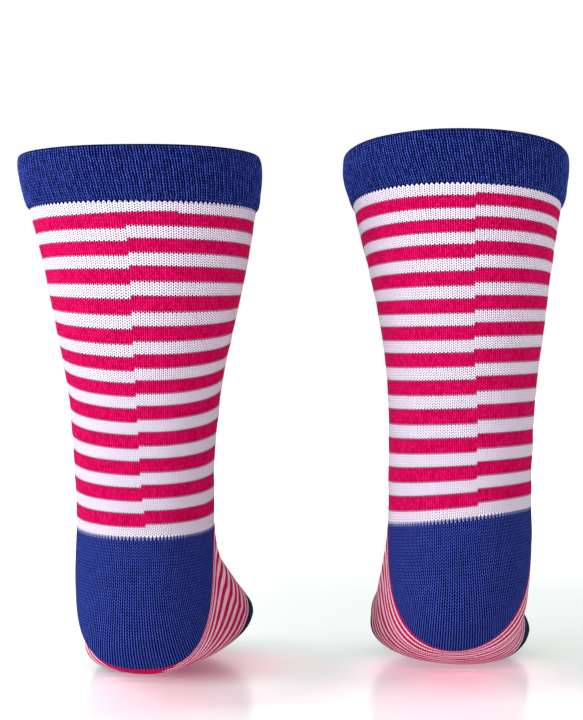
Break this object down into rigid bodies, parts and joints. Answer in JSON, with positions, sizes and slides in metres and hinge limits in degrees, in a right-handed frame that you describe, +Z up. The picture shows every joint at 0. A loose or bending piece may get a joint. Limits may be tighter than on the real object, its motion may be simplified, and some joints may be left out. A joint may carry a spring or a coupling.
{
  "type": "pair of striped crew socks",
  "caption": "Pair of knitted crew socks filled out as worn: ribbed cuff, striped leg and foot, plain heel pouch and toe.",
  "frame": {"origin": "centre of the left sock's cuff opening, where the wearer's leg holds it up", "axes": "+Z up, toes towards +Y, heels towards -Y, +X from the left sock to the right sock"},
  "size_m": [0.2895, 0.281, 0.299],
  "materials": {
    "cuff_rib": "royal blue ribbed double welt",
    "leg_jersey": "plain knit, white and pink stripes of equal width",
    "heel_jersey": "royal blue plain knit",
    "foot_jersey": "plain knit, white and pink stripes",
    "toe_jersey": "navy plain knit"
  },
  "bodies": {
    "root": {"left_cuff": "cuff_rib", "left_leg": "leg_jersey", "left_heel": "heel_jersey", "left_foot": "foot_jersey", "left_toe": "toe_jersey", "right_cuff": "cuff_rib", "right_leg": "leg_jersey", "right_heel": "heel_jersey", "right_foot": "foot_jersey", "right_toe": "toe_jersey"}
  },
  "joints": []
}
